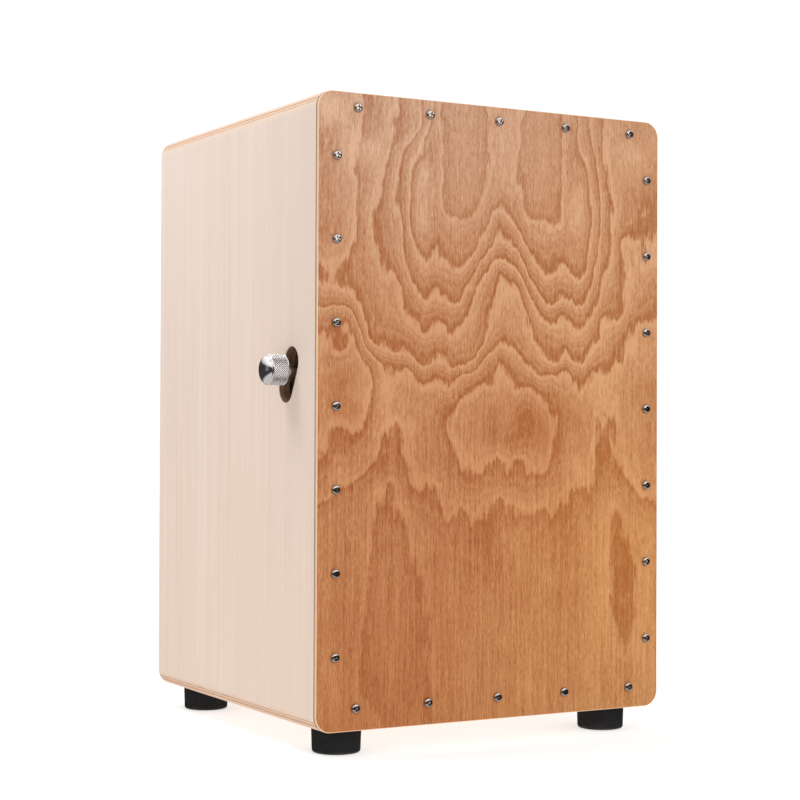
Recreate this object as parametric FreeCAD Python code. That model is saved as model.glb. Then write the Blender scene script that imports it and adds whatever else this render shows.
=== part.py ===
import FreeCAD, Part
import math
import os

V = FreeCAD.Vector

# ---------------------------------------------------------------------------
# Cajon: a box drum with an adjustable internal snare.
# Frame: millimetres, +Z up, floor at z = 0, origin on the floor under the
# middle of the box.  The struck front plate faces -Y, the sound hole faces +Y,
# the snare lever's knob is on the -X side.
# ---------------------------------------------------------------------------

# --- box ---
WIDTH = 300.0           # along X
DEPTH = 300.0           # along Y, front plate included
BODY_H = 458.0          # box without its feet
FOOT_H = 19.0
PLY = 8.0               # side, top and bottom panels
FRONT_T = 3.5           # front plate
BACK_T = 6.0            # back panel
BACK_RECESS = 6.0       # back panel's outer face behind the rear rim
CORNER_R = 12.0         # four long edges, front to back
REAR_R = 7.0            # rounding round the rear rim
FRONT_EASE = 0.8        # eased edge of the front plate

X0, X1 = -WIDTH / 2, WIDTH / 2
Y0, Y1 = -DEPTH / 2, DEPTH / 2
Z0, Z1 = FOOT_H, FOOT_H + BODY_H
YF = Y0 + FRONT_T       # back of the front plate
YB1 = Y1 - BACK_RECESS  # back panel's outer face
YB0 = YB1 - BACK_T      # back panel's inner face
XI0, XI1 = X0 + PLY, X1 - PLY
ZI0, ZI1 = Z0 + PLY, Z1 - PLY

# --- inner frame ---
BATTEN_W = 20.0         # front battens, seen from the front
BATTEN_D = 18.0         # and their depth
CLEAT = 15.0            # rear cleats, square
GLUE_LEG = 12.0         # triangular glue strips in the four long corners

# --- front plate screws ---
SCREW_HEAD_D, SCREW_HEAD_H = 7.0, 2.3
SCREW_D, SCREW_L = 3.5, 16.0
SCREW_PITCH_X, SCREW_PITCH_Z = 60.0, 59.73
SCREW_X_SHIFT = 1.8     # the drilled pattern sits a little to the right
SCREW_SIDE_X = 136.7    # side columns, from the pattern's middle
SCREW_TOP_Z = Z1 - 11.0
SCREW_BOTTOM_Z = Z0 + 16.3
SCREW_SIDE_MID_Z = Z0 + 232.6

# --- sound hole and back screws ---
HOLE_R, HOLE_Z = 60.0, 200.0
BACK_SCREW_IN = 7.5

# --- feet ---
FOOT_R_TOP, FOOT_R_BOTTOM = 18.4, 17.8
FOOT_EDGE_R = 2.0
FOOT_X, FOOT_Y = 117.5, 119.0
FOOT_BORE_R, FOOT_BORE_DEEP = 8.0, 12.0

# --- lever slot in the left side panel ---
SLOT_Y, SLOT_Z = -103.6, Z0 + 255.7
SLOT_R = 11.0           # half its width
SLOT_HALF = 10.5        # from its middle to each end arc's centre
SLOT_LEAN = 27.0        # degrees from upright, top towards the front
SLOT_BREAK = 0.7

# --- snare frame ---
PIVOT_Y, PIVOT_Z = -60.0, 298.5
STUD_Y, STUD_Z = -105.0, 278.0          # lever stud and knob at rest
PRESS_DEG = 16.0                        # turn that lays the wires on the front plate
AXLE_R = 4.0
BUSH_R, BUSH_BORE_R = 6.0, 4.05
BUSH_FLANGE_R, BUSH_FLANGE_T = 9.0, 2.0
BLOCK_T, BLOCK_SIZE = 16.0, 44.0
WASHER_T = 1.0
ARM_PLATE_T = 3.0
ARM_X = 119.4                           # outer face of an arm's plate
HUB_R, HUB_OUT, HUB_IN = 11.0, 3.4, 8.0
BAR_T, BAR_H = 14.0, 22.0
BAR_PRESSED_Z = 338.0
WIRE_R, WIRE_TOP_Z, WIRE_BOTTOM_Z = 0.7, 432.0, 330.0
WIRES_PER_SET, WIRE_PITCH, SET_X = 10, 6.0, 73.0
WIRE_GAP = 0.4                          # wires to front plate when pressed
TAB_T = 1.0

# --- lever stud and knob ---
STUD_R, STUD_THREAD_R = 5.0, 3.0
COLLAR_R = 7.1
COLLAR_IN_X, KNOB_IN_X, KNOB_OUT_X = -149.2, -154.5, -168.5
KNOB_R, KNOB_DOME = 11.3, 4.5

os.makedirs("parts", exist_ok=True)


# ---------------------------------------------------------------------------
# helpers
# ---------------------------------------------------------------------------
def box(x0, y0, z0, x1, y1, z1):
    return Part.makeBox(x1 - x0, y1 - y0, z1 - z0, V(x0, y0, z0))


def cyl(r, p, axis, length):
    return Part.makeCylinder(r, length, V(*p), V(*axis))


def fuse(first, *rest):
    out = first
    for s in rest:
        out = out.fuse(s)
    return out.removeSplitter()


def solid_of(shape):
    solids = shape.Solids
    if len(solids) != 1:
        raise ValueError("expected one solid, got %d" % len(solids))
    return solids[0]


def save(name, shape):
    if not shape.isValid():
        raise ValueError(name + " is not valid")
    shape.exportStep("parts/" + name + ".step")
    print("%-26s %3d solid(s) %12.2f mm3" % (name, len(shape.Solids), shape.Volume))


def placed(shape, position, direction, spin=0.0):
    """A copy of a shape built along +Z, standing at position along direction."""
    out = shape.copy()
    turn = FreeCAD.Rotation(V(0, 0, 1), V(*direction))
    out.Placement = FreeCAD.Placement(
        V(*position), turn.multiply(FreeCAD.Rotation(V(0, 0, 1), spin))
    )
    return out


def screw(head_r, head_h, shank_r, length, recess, countersunk=False):
    """Along +Z, its head's seat at z = 0, head above, shank below, cross recess."""
    if countersunk:
        head = Part.makeCone(shank_r, head_r, head_h, V(0, 0, -head_h), V(0, 0, 1))
        top = 0.0
    else:
        head = Part.makeCylinder(head_r, head_h)
        rim = [
            e
            for e in head.Edges
            if e.BoundBox.ZMin > head_h - 1e-6 and e.Closed and len(e.Vertexes) == 1
        ]
        head = head.makeFillet(min(head_h * 0.72, head_r * 0.55), rim[:1])
        top = head_h
    tip = min(length * 0.25, shank_r * 1.6)
    body_top = -head_h * 0.98 if countersunk else 0.0
    shank = Part.makeCylinder(
        shank_r, length - tip + body_top, V(0, 0, -(length - tip)), V(0, 0, 1)
    )
    point = Part.makeCone(0.25, shank_r, tip, V(0, 0, -length), V(0, 0, 1))
    out = fuse(head, shank, point)
    if recess:
        w, half, deep = recess * 0.26, recess / 2, recess * 0.34
        a = box(-half, -w / 2, top - deep, half, w / 2, top + 1)
        b = box(-w / 2, -half, top - deep, w / 2, half, top + 1)
        c = Part.makeCone(
            recess * 0.10, recess * 0.30, deep * 1.15 + 0.01,
            V(0, 0, top - deep * 1.15), V(0, 0, 1),
        )
        out = out.cut(a.fuse(b).fuse(c))
    return solid_of(out)


def about_pivot(shape, degrees):
    out = shape.copy()
    out.rotate(V(0, PIVOT_Y, PIVOT_Z), V(1, 0, 0), degrees)
    return out


# ---------------------------------------------------------------------------
# outer envelope of the box
# ---------------------------------------------------------------------------
envelope = box(X0, Y0, Z0, X1, Y1, Z1)
long_edges = [
    e for e in envelope.Edges
    if abs(e.BoundBox.YLength - DEPTH) < 1e-6
]
envelope = envelope.makeFillet(CORNER_R, long_edges)
rear_edges = [e for e in envelope.Edges if e.BoundBox.YMin > Y1 - 1e-6]
envelope = envelope.makeFillet(REAR_R, rear_edges)

# ---------------------------------------------------------------------------
# screw positions
# ---------------------------------------------------------------------------
front_points = []
for i in range(-2, 3):
    front_points.append((SCREW_X_SHIFT + i * SCREW_PITCH_X, SCREW_TOP_Z))
    front_points.append((SCREW_X_SHIFT + i * SCREW_PITCH_X, SCREW_BOTTOM_Z))
for i in range(-3, 4):
    front_points.append((SCREW_X_SHIFT - SCREW_SIDE_X, SCREW_SIDE_MID_Z + i * SCREW_PITCH_Z))
    front_points.append((SCREW_X_SHIFT + SCREW_SIDE_X, SCREW_SIDE_MID_Z + i * SCREW_PITCH_Z))

back_points = []
for x in (-100.0, 0.0, 100.0):
    back_points.append((x, ZI1 - BACK_SCREW_IN))
    back_points.append((x, ZI0 + BACK_SCREW_IN))
for z in (ZI0 + 70.0, (ZI0 + ZI1) / 2, ZI1 - 70.0):
    back_points.append((XI0 + BACK_SCREW_IN, z))
    back_points.append((XI1 - BACK_SCREW_IN, z))

# ---------------------------------------------------------------------------
# front plate
# ---------------------------------------------------------------------------
front = envelope.common(box(X0 - 1, Y0 - 1, Z0 - 1, X1 + 1, YF, Z1 + 1))
front = solid_of(front)
outline = [e for e in front.Edges if e.BoundBox.YMax < Y0 + 1e-6]
front = front.makeFillet(FRONT_EASE, outline)
for x, z in front_points:
    front = front.cut(cyl(SCREW_D / 2 + 0.15, (x, Y0 - 1, z), (0, 1, 0), FRONT_T + 2))
save("front_plate", solid_of(front))

# ---------------------------------------------------------------------------
# carcass panels
# ---------------------------------------------------------------------------
left = solid_of(envelope.common(box(X0, YF, ZI0, XI0, Y1, ZI1)))
right = solid_of(envelope.common(box(XI1, YF, ZI0, X1, Y1, ZI1)))
top = solid_of(envelope.common(box(X0, YF, ZI1, X1, Y1, Z1)))
bottom = solid_of(envelope.common(box(X0, YF, Z0, X1, Y1, ZI0)))

lean = math.radians(SLOT_LEAN)
sy, sz = -math.sin(lean), math.cos(lean)     # up along the slot
ny, nz = math.cos(lean), math.sin(lean)      # across it, rearward


def slot_prism(r, x0, x1):
    pts = []
    for a, b in ((1, -1), (1, 1), (-1, 1), (-1, -1)):
        pts.append(
            V(x0, SLOT_Y + a * SLOT_HALF * sy + b * r * ny,
              SLOT_Z + a * SLOT_HALF * sz + b * r * nz)
        )
    end_up = V(x0, SLOT_Y + (SLOT_HALF + r) * sy, SLOT_Z + (SLOT_HALF + r) * sz)
    end_down = V(x0, SLOT_Y - (SLOT_HALF + r) * sy, SLOT_Z - (SLOT_HALF + r) * sz)
    wire = Part.Wire([
        Part.Arc(pts[0], end_up, pts[1]).toShape(),
        Part.LineSegment(pts[1], pts[2]).toShape(),
        Part.Arc(pts[2], end_down, pts[3]).toShape(),
        Part.LineSegment(pts[3], pts[0]).toShape(),
    ])
    return Part.Face(wire).extrude(V(x1 - x0, 0, 0))


left = solid_of(left.cut(slot_prism(SLOT_R, X0 - 1, XI0 + 1)))
rim = [
    e for e in left.Edges
    if e.BoundBox.XMax < X0 + 1e-6
    and e.BoundBox.YMin > SLOT_Y - 20 and e.BoundBox.YMax < SLOT_Y + 20
    and e.BoundBox.ZMin > SLOT_Z - 25 and e.BoundBox.ZMax < SLOT_Z + 25
]
left = solid_of(left.makeFillet(SLOT_BREAK, rim))

for sx in (-1, 1):
    for sy_ in (-1, 1):
        bottom = bottom.cut(
            cyl(2.27, (sx * FOOT_X, sy_ * FOOT_Y, Z0 - 1), (0, 0, 1), PLY + 0.5)
        )

# bearing block screws reach 5 mm into each side panel
block_screw_offsets = [(-16.0, -16.0), (16.0, -16.0), (-16.0, 16.0), (16.0, 16.0)]
for dy, dz in block_screw_offsets:
    left = left.cut(cyl(1.77, (XI0 - 5.2, PIVOT_Y + dy, PIVOT_Z + dz), (1, 0, 0), 6))
    right = right.cut(cyl(1.77, (XI1 + 5.2, PIVOT_Y + dy, PIVOT_Z + dz), (-1, 0, 0), 6))

save("left_side_panel", solid_of(left))
save("right_side_panel", solid_of(right))
save("top_panel", solid_of(top))
save("bottom_panel", solid_of(bottom))

back = box(XI0, YB0, ZI0, XI1, YB1, ZI1)
back = back.cut(cyl(HOLE_R, (0, YB0 - 1, HOLE_Z), (0, 1, 0), BACK_T + 2))
hole_rims = [
    e for e in back.Edges
    if e.Closed and len(e.Vertexes) == 1 and abs(e.Length - 2 * math.pi * HOLE_R) < 0.01
    and e.BoundBox.YMin > YB1 - 1e-6
]
back = back.makeFillet(1.2, hole_rims)
for x, z in back_points:
    back = back.cut(cyl(1.9, (x, YB0 - 1, z), (0, 1, 0), BACK_T + 2))
save("back_panel", solid_of(back))

# ---------------------------------------------------------------------------
# inner battens, cleats and glue strips
# ---------------------------------------------------------------------------
YBat = YF + BATTEN_D
battens = {
    "front_batten_left": box(XI0, YF, ZI0, XI0 + BATTEN_W, YBat, ZI1),
    "front_batten_right": box(XI1 - BATTEN_W, YF, ZI0, XI1, YBat, ZI1),
    "front_batten_top": box(XI0 + BATTEN_W, YF, ZI1 - BATTEN_W, XI1 - BATTEN_W, YBat, ZI1),
    "front_batten_bottom": box(XI0 + BATTEN_W, YF, ZI0, XI1 - BATTEN_W, YBat, ZI0 + BATTEN_W),
}
for name, shape in battens.items():
    for x, z in front_points:
        hole = cyl(SCREW_D / 2 + 0.02, (x, YF - 1, z), (0, 1, 0), SCREW_L - FRONT_T + 1.2)
        if hole.common(shape).Volume > 1:
            shape = shape.cut(hole)
    save(name, solid_of(shape))

YCl = YB0 - CLEAT
cleats = {
    "rear_cleat_left": box(XI0, YCl, ZI0, XI0 + CLEAT, YB0, ZI1),
    "rear_cleat_right": box(XI1 - CLEAT, YCl, ZI0, XI1, YB0, ZI1),
    "rear_cleat_top": box(XI0 + CLEAT, YCl, ZI1 - CLEAT, XI1 - CLEAT, YB0, ZI1),
    "rear_cleat_bottom": box(XI0 + CLEAT, YCl, ZI0, XI1 - CLEAT, YB0, ZI0 + CLEAT),
}
for name, shape in cleats.items():
    for x, z in back_points:
        hole = cyl(1.77, (x, YB0 - 10.2, z), (0, 1, 0), 11)
        if hole.common(shape).Volume > 1:
            shape = shape.cut(hole)
    save(name, solid_of(shape))

strips = []
for cx, ux in ((XI0, 1), (XI1, -1)):
    for cz, uz in ((ZI0, 1), (ZI1, -1)):
        tri = Part.Face(Part.makePolygon([
            V(cx, YBat, cz), V(cx + ux * GLUE_LEG, YBat, cz),
            V(cx, YBat, cz + uz * GLUE_LEG), V(cx, YBat, cz),
        ]))
        strips.append(tri.extrude(V(0, YCl - YBat, 0)))
save("corner_glue_strips", Part.makeCompound(strips))

# ---------------------------------------------------------------------------
# screws of the front plate and the back panel
# ---------------------------------------------------------------------------
front_screw = screw(SCREW_HEAD_D / 2, SCREW_HEAD_H, SCREW_D / 2, SCREW_L, 4.0)
save("front_plate_screws", Part.makeCompound([
    placed(front_screw, (x, Y0, z), (0, -1, 0), (i * 37.0) % 90.0)
    for i, (x, z) in enumerate(front_points)
]))
back_screw = screw(3.3, 2.1, 1.75, 16.0, 3.8)
save("back_panel_screws", Part.makeCompound([
    placed(back_screw, (x, YB1, z), (0, 1, 0), (i * 29.0) % 90.0)
    for i, (x, z) in enumerate(back_points)
]))

# ---------------------------------------------------------------------------
# feet
# ---------------------------------------------------------------------------
foot = Part.makeCone(FOOT_R_BOTTOM, FOOT_R_TOP, FOOT_H)
low_rim = [e for e in foot.Edges if e.BoundBox.ZMax < 1e-6 and e.Closed and len(e.Vertexes) == 1]
foot = foot.makeFillet(FOOT_EDGE_R, low_rim[:1])
foot = foot.cut(Part.makeCylinder(FOOT_BORE_R, FOOT_BORE_DEEP))
foot = solid_of(foot.cut(Part.makeCylinder(2.6, FOOT_H + 1)))
washer = Part.makeCylinder(7.0, 1.2).cut(Part.makeCylinder(2.5, 1.2))
foot_screw = screw(4.2, 2.8, 2.25, 15.5, 5.0)
washers, foot_screws = [], []
for name, sx, sy_ in (
    ("foot_front_left", -1, -1), ("foot_front_right", 1, -1),
    ("foot_rear_left", -1, 1), ("foot_rear_right", 1, 1),
):
    px, py = sx * FOOT_X, sy_ * FOOT_Y
    save(name, placed(foot, (px, py, 0), (0, 0, 1)))
    washers.append(placed(washer, (px, py, FOOT_BORE_DEEP - 1.2), (0, 0, 1)))
    foot_screws.append(placed(foot_screw, (px, py, FOOT_BORE_DEEP - 1.2), (0, 0, -1), 20.0 * sx + 11 * sy_))
save("foot_washers", Part.makeCompound(washers))
save("foot_screws", Part.makeCompound(foot_screws))

# ---------------------------------------------------------------------------
# snare pivot: bearing blocks, bushes, washers, axle
# ---------------------------------------------------------------------------
block_screw = screw(3.3, 2.1, 1.75, BLOCK_T + 5.0, 3.8)
block_screws = []
for name, side in (("left", -1), ("right", 1)):
    wall = XI0 if side < 0 else XI1
    inner = wall - side * BLOCK_T
    lo, hi = sorted((wall, inner))
    h = BLOCK_SIZE / 2
    block = box(lo, PIVOT_Y - h, PIVOT_Z - h, hi, PIVOT_Y + h, PIVOT_Z + h)
    corner = [e for e in block.Edges if abs(e.BoundBox.XLength - BLOCK_T) < 1e-6]
    block = block.makeFillet(4.0, corner)
    block = block.cut(cyl(BUSH_R, (lo - 1, PIVOT_Y, PIVOT_Z), (1, 0, 0), BLOCK_T + 2))
    for dy, dz in block_screw_offsets:
        block = block.cut(cyl(1.85, (lo - 1, PIVOT_Y + dy, PIVOT_Z + dz), (1, 0, 0), BLOCK_T + 2))
        block_screws.append(placed(
            block_screw, (inner, PIVOT_Y + dy, PIVOT_Z + dz), (-side, 0, 0), dy + 2 * dz))
    save("bearing_block_" + name, solid_of(block))

    bush = cyl(BUSH_R, (wall, PIVOT_Y, PIVOT_Z), (-side, 0, 0), BLOCK_T)
    flange = cyl(BUSH_FLANGE_R, (inner, PIVOT_Y, PIVOT_Z), (-side, 0, 0), BUSH_FLANGE_T)
    bore = cyl(BUSH_BORE_R, (wall + side, PIVOT_Y, PIVOT_Z), (-side, 0, 0), BLOCK_T + 6)
    save("pivot_bush_" + name, solid_of(fuse(bush, flange).cut(bore)))

    face = inner - side * (BUSH_FLANGE_T + 0.05)
    ring = cyl(8.5, (face, PIVOT_Y, PIVOT_Z), (-side, 0, 0), WASHER_T)
    ring = ring.cut(cyl(AXLE_R + 0.02, (face + side, PIVOT_Y, PIVOT_Z), (-side, 0, 0), WASHER_T + 2))
    save("friction_washer_" + name, solid_of(ring))
save("bearing_block_screws", Part.makeCompound(block_screws))

axle = cyl(AXLE_R, (XI0 + 0.5, PIVOT_Y, PIVOT_Z), (1, 0, 0), XI1 - XI0 - 1.0)
for side in (-1, 1):
    x = side * (ARM_X - ARM_PLATE_T - HUB_IN / 2)
    # flat under the set screw
    axle = axle.cut(about_pivot(
        box(x - 3.5, PIVOT_Y - 5, PIVOT_Z + AXLE_R - 0.6, x + 3.5, PIVOT_Y + 5, PIVOT_Z + AXLE_R + 1),
        -PRESS_DEG))
save("axle_rod", solid_of(axle))

# ---------------------------------------------------------------------------
# swing arms, snare bar and wires: laid out in the pressed position, where the
# wires stand upright against the front plate, then turned back to rest
# ---------------------------------------------------------------------------
wire_y = YF + WIRE_GAP + WIRE_R
tab_y0 = wire_y + WIRE_R
bar_y0 = tab_y0 + TAB_T
bar_y1 = bar_y0 + BAR_T
bar_mid_y = (bar_y0 + bar_y1) / 2


def link(x_lo, thickness, ya, za, ra, yb, zb, rb):
    """Plate in the YZ plane: two discs joined by their outer tangents."""
    d = math.hypot(yb - ya, zb - za)
    ang = math.atan2(zb - za, yb - ya)
    off = math.acos((ra - rb) / d)
    pts = []
    for s in (1, -1):
        a = ang + s * off
        pts.append((V(x_lo, ya + ra * math.cos(a), za + ra * math.sin(a)),
                    V(x_lo, yb + rb * math.cos(a), zb + rb * math.sin(a))))
    wire = Part.Wire([
        Part.LineSegment(pts[0][0], pts[0][1]).toShape(),
        Part.Arc(pts[0][1], V(x_lo, yb + rb * math.cos(ang), zb + rb * math.sin(ang)), pts[1][1]).toShape(),
        Part.LineSegment(pts[1][1], pts[1][0]).toShape(),
        Part.Arc(pts[1][0], V(x_lo, ya - ra * math.cos(ang), za - ra * math.sin(ang)), pts[0][0]).toShape(),
    ])
    return Part.Face(wire).extrude(V(thickness, 0, 0))


# the stud's place when the frame is pressed
a = math.radians(PRESS_DEG)
dy, dz = STUD_Y - PIVOT_Y, STUD_Z - PIVOT_Z
stud_y = PIVOT_Y + dy * math.cos(a) - dz * math.sin(a)
stud_z = PIVOT_Z + dy * math.sin(a) + dz * math.cos(a)

bar_screw_z = [BAR_PRESSED_Z - 5.5, BAR_PRESSED_Z + 5.5]
bar_screw = screw(3.2, 2.0, 1.75, 3.0 + 15.0, 3.6)
bar_screws, set_screws = [], []
for name, side in (("lever_arm_left", -1), ("swing_arm_right", 1)):
    outer = side * ARM_X
    x_lo = min(outer, outer - side * ARM_PLATE_T)
    plate = link(x_lo, ARM_PLATE_T, PIVOT_Y, PIVOT_Z, HUB_R, bar_mid_y, BAR_PRESSED_Z - 4.0, 8.0)
    head = link(x_lo, ARM_PLATE_T, bar_mid_y, BAR_PRESSED_Z - 4.0, 8.0, bar_mid_y, BAR_PRESSED_Z + 5.5, 6.5)
    hub = cyl(HUB_R, (outer + side * HUB_OUT, PIVOT_Y, PIVOT_Z), (-side, 0, 0),
              HUB_OUT + ARM_PLATE_T + HUB_IN)
    arm = fuse(plate, head, hub)
    if side < 0:
        arm = fuse(arm, link(x_lo, ARM_PLATE_T, PIVOT_Y, PIVOT_Z, HUB_R, stud_y, stud_z, 8.0))
        arm = arm.cut(cyl(STUD_THREAD_R + 0.02, (x_lo - 1, stud_y, stud_z), (1, 0, 0), 6))
    arm = arm.cut(cyl(AXLE_R + 0.01, (x_lo - 20, PIVOT_Y, PIVOT_Z), (1, 0, 0), 40))
    set_x = side * (ARM_X - ARM_PLATE_T - HUB_IN / 2)
    arm = arm.cut(cyl(2.02, (set_x, PIVOT_Y, PIVOT_Z), (0, 0, 1), 14))
    for z in bar_screw_z:
        arm = arm.cut(cyl(1.9, (x_lo - 1, bar_mid_y, z), (1, 0, 0), 6))
        bar_screws.append(about_pivot(
            placed(bar_screw, (outer, bar_mid_y, z), (side, 0, 0), 30.0 * side), -PRESS_DEG))
    save(name, solid_of(about_pivot(solid_of(arm), -PRESS_DEG)))
    grub = cyl(2.0, (set_x, PIVOT_Y, PIVOT_Z + AXLE_R - 0.55), (0, 0, 1), 7.0)
    socket = cyl(1.05, (set_x, PIVOT_Y, PIVOT_Z + AXLE_R - 0.55 + 4.5), (0, 0, 1), 3.0)
    set_screws.append(about_pivot(grub.cut(socket), -PRESS_DEG))
save("arm_set_screws", Part.makeCompound(set_screws))
save("snare_bar_screws", Part.makeCompound(bar_screws))

bar_x = ARM_X - ARM_PLATE_T
bar = box(-bar_x, bar_y0, BAR_PRESSED_Z - BAR_H / 2, bar_x, bar_y1, BAR_PRESSED_Z + BAR_H / 2)
bar = bar.makeFillet(1.5, [e for e in bar.Edges if abs(e.BoundBox.XLength - 2 * bar_x) < 1e-6])
for side in (-1, 1):
    for z in bar_screw_z:
        bar = bar.cut(cyl(1.77, (side * (bar_x + 1), bar_mid_y, z), (-side, 0, 0), 16.3))
tab_screw_points = [
    (side * SET_X + d, BAR_PRESSED_Z) for side in (-1, 1) for d in (-24.0, -12.0, 12.0, 24.0)
]
for x, z in tab_screw_points:
    bar = bar.cut(cyl(1.27, (x, bar_y0 - 1, z), (0, 1, 0), 9.2))
save("snare_bar", solid_of(about_pivot(solid_of(bar), -PRESS_DEG)))

tab_screw = screw(2.15, 0.95, 1.25, 9.0, 2.6)
save("snare_tab_screws", Part.makeCompound([
    about_pivot(placed(tab_screw, (x, tab_y0, z), (0, -1, 0), 45.0), -PRESS_DEG)
    for x, z in tab_screw_points
]))
for name, side in (("left", -1), ("right", 1)):
    mid = side * SET_X
    half = (WIRES_PER_SET - 1) * WIRE_PITCH / 2
    tab = box(mid - half - 3, tab_y0, WIRE_BOTTOM_Z - 1, mid + half + 3, tab_y0 + TAB_T, WIRE_BOTTOM_Z + 17)
    tab = tab.makeFillet(2.0, [e for e in tab.Edges if abs(e.BoundBox.YLength - TAB_T) < 1e-6])
    for x, z in tab_screw_points:
        if abs(x - mid) < half:
            tab = tab.cut(cyl(1.4, (x, tab_y0 - 1, z), (0, 1, 0), 4))
    save("snare_tab_" + name, solid_of(about_pivot(solid_of(tab), -PRESS_DEG)))
    wires = []
    for i in range(WIRES_PER_SET):
        x = mid - half + i * WIRE_PITCH
        wires.append(about_pivot(
            cyl(WIRE_R, (x, wire_y, WIRE_BOTTOM_Z), (0, 0, 1), WIRE_TOP_Z - WIRE_BOTTOM_Z), -PRESS_DEG))
    save("snare_wires_" + name, Part.makeCompound(wires))

# ---------------------------------------------------------------------------
# lever stud, nut, collar and knob
# ---------------------------------------------------------------------------
stud_in = -(ARM_X - ARM_PLATE_T)        # inner face of the left arm
stud = fuse(
    cyl(STUD_R, (COLLAR_IN_X, STUD_Y, STUD_Z), (1, 0, 0), -ARM_X - COLLAR_IN_X),
    cyl(STUD_THREAD_R, (KNOB_OUT_X + 1.5, STUD_Y, STUD_Z), (1, 0, 0), stud_in + 7.0 - KNOB_OUT_X - 1.5),
)
save("lever_stud", solid_of(stud))

nut_r = 5.0 / math.cos(math.radians(30))
hexagon = Part.Face(Part.makePolygon([
    V(stud_in, STUD_Y + nut_r * math.cos(math.radians(60 * i + 12)),
      STUD_Z + nut_r * math.sin(math.radians(60 * i + 12))) for i in range(7)
]))
nut = hexagon.extrude(V(5.0, 0, 0))
nut = nut.cut(cyl(STUD_THREAD_R + 0.02, (stud_in - 1, STUD_Y, STUD_Z), (1, 0, 0), 8))
save("stud_nut", solid_of(nut))

collar = cyl(COLLAR_R, (KNOB_IN_X, STUD_Y, STUD_Z), (1, 0, 0), COLLAR_IN_X - KNOB_IN_X)
end_rim = [e for e in collar.Edges if e.Closed and len(e.Vertexes) == 1
           and e.BoundBox.XMin > COLLAR_IN_X - 1e-6]
collar = collar.makeFillet(0.8, end_rim)
collar = collar.cut(cyl(STUD_THREAD_R + 0.05, (KNOB_IN_X - 1, STUD_Y, STUD_Z), (1, 0, 0), 12))
save("knob_collar", solid_of(collar))

# knob: turned round its own axis from its half section
flat = KNOB_R - 0.9
sphere_r = (flat ** 2 + KNOB_DOME ** 2) / (2 * KNOB_DOME)
mid_h = KNOB_DOME - sphere_r + sphere_r * math.cos(math.asin(flat / 2 / sphere_r))
bore_end = KNOB_OUT_X + 1.0
profile = Part.Wire([
    Part.LineSegment(V(KNOB_IN_X - 0.05, 3.05, 0), V(KNOB_IN_X - 0.05, KNOB_R - 0.8, 0)).toShape(),
    Part.LineSegment(V(KNOB_IN_X - 0.05, KNOB_R - 0.8, 0), V(KNOB_IN_X - 0.85, KNOB_R, 0)).toShape(),
    Part.LineSegment(V(KNOB_IN_X - 0.85, KNOB_R, 0), V(KNOB_OUT_X + 0.9, KNOB_R, 0)).toShape(),
    Part.LineSegment(V(KNOB_OUT_X + 0.9, KNOB_R, 0), V(KNOB_OUT_X, flat, 0)).toShape(),
    Part.Arc(V(KNOB_OUT_X, flat, 0), V(KNOB_OUT_X - mid_h, flat / 2, 0), V(KNOB_OUT_X - KNOB_DOME, 0, 0)).toShape(),
    Part.LineSegment(V(KNOB_OUT_X - KNOB_DOME, 0, 0), V(bore_end, 0, 0)).toShape(),
    Part.LineSegment(V(bore_end, 0, 0), V(bore_end, 3.05, 0)).toShape(),
    Part.LineSegment(V(bore_end, 3.05, 0), V(KNOB_IN_X - 0.05, 3.05, 0)).toShape(),
])
knob = Part.Face(profile).revolve(V(0, 0, 0), V(1, 0, 0), 360)
if isinstance(knob, Part.Shell):
    knob = Part.Solid(knob)
knob.translate(V(0, STUD_Y, STUD_Z))
save("knurled_knob", solid_of(knob))
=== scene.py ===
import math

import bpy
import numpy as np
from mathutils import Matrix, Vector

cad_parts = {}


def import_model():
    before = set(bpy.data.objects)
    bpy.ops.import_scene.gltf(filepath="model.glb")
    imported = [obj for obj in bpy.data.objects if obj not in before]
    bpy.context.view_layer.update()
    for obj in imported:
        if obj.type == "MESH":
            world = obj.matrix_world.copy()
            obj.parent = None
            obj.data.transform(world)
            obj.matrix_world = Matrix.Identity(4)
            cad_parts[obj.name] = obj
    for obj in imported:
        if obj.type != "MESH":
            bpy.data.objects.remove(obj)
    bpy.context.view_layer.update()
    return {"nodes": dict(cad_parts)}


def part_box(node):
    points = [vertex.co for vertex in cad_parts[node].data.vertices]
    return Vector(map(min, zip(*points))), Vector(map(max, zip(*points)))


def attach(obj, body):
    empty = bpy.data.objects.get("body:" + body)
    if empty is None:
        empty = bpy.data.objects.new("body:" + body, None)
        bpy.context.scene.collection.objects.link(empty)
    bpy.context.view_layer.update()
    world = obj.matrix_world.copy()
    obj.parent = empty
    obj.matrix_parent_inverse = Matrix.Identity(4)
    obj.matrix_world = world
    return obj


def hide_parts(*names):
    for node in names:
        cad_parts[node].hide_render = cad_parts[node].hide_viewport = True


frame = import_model()

# Cajon: a birch ply box drum with a figured front plate, rubber feet and a lever
# that swings the snare wires on and off the plate. Everything is in metres in the
# CAD frame; the shaders work in millimetres of object space.

NODES = frame["nodes"]
SOCKET = bpy.types.NodeSocket


def srgb(r, g, b):
    """A display colour, 0 to 255, as a linear one."""
    c = [v / 255 for v in (r, g, b)]
    return tuple(v / 12.92 if v <= 0.04045 else ((v + 0.055) / 1.055) ** 2.4 for v in c)


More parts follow.
